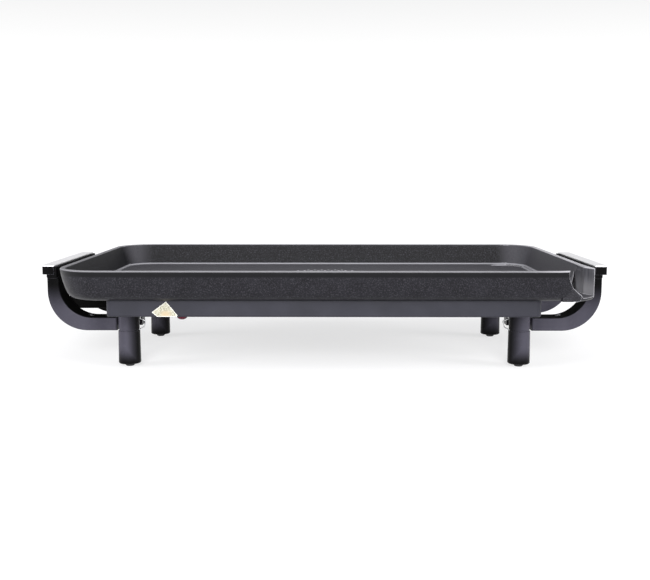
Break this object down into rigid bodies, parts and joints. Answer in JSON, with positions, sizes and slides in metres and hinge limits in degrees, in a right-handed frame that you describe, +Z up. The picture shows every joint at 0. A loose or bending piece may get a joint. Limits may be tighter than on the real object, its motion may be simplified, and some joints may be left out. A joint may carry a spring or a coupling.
{
  "type": "electric griddle",
  "caption": "Table-top electric griddle: rectangular cast pan with a corner spout, lifting off a heated steel base on round legs, with a C-shaped handle at each end.",
  "frame": {"origin": "on the table under the middle of the base", "axes": "+X to the spout end, +Y to the back, +Z up"},
  "size_m": [0.5568, 0.314, 0.1014],
  "materials": {
    "nonstick": "speckled non-stick coating",
    "grey_enamel": "satin paint",
    "zinc_steel": "zinc plated",
    "bright_steel": "aluminised sheet",
    "sheath_steel": "heat-tinted sheath",
    "ceramic": "glazed ceramic",
    "brass_plate": "bright",
    "wire_sleeve": "silicone sleeve",
    "bakelite": "semi-gloss moulding",
    "red_lens": "clear red moulding",
    "label_paper": "matte film",
    "foot_rubber": "matte",
    "satin_silver": "satin",
    "screw_steel": "plated"
  },
  "bodies": {
    "base": {"heater_box": "grey_enamel", "corner_brackets": "zinc_steel", "reflector": "bright_steel", "reflector_spacers": "zinc_steel", "box_screws": "screw_steel", "heating_element": "sheath_steel", "element_clips": "zinc_steel", "terminal_bushes": "ceramic", "element_terminals": "brass_plate", "thermal_cutout": "zinc_steel", "lead_wires": "wire_sleeve", "earth_terminal": "brass_plate", "inlet_block": "bakelite", "inlet_pins": "brass_plate", "probe_sleeve": "bright_steel", "inlet_shroud": "bakelite", "shroud_screws": "screw_steel", "lamp_lens": "red_lens", "lamp_body": "bakelite", "blank_label": "label_paper", "leg_studs": "screw_steel", "leg_clips": "zinc_steel", "arm_screws": "screw_steel", "leg_front_left": "bakelite", "foot_front_left": "foot_rubber", "leg_front_right": "bakelite", "foot_front_right": "foot_rubber", "leg_rear_left": "bakelite", "foot_rear_left": "foot_rubber", "leg_rear_right": "bakelite", "foot_rear_right": "foot_rubber", "crossmember_left": "zinc_steel", "handle_left": "bakelite", "grip_cover_left": "satin_silver", "crossmember_right": "zinc_steel", "handle_right": "bakelite", "grip_cover_right": "satin_silver"},
    "pan": {"pan": "nonstick"}
  },
  "joints": [
    {"name": "pan_lift", "type": "slide", "parent": "base", "child": "pan", "axis": [0, 0, 1], "range_m": [0, 0.15]}
  ]
}
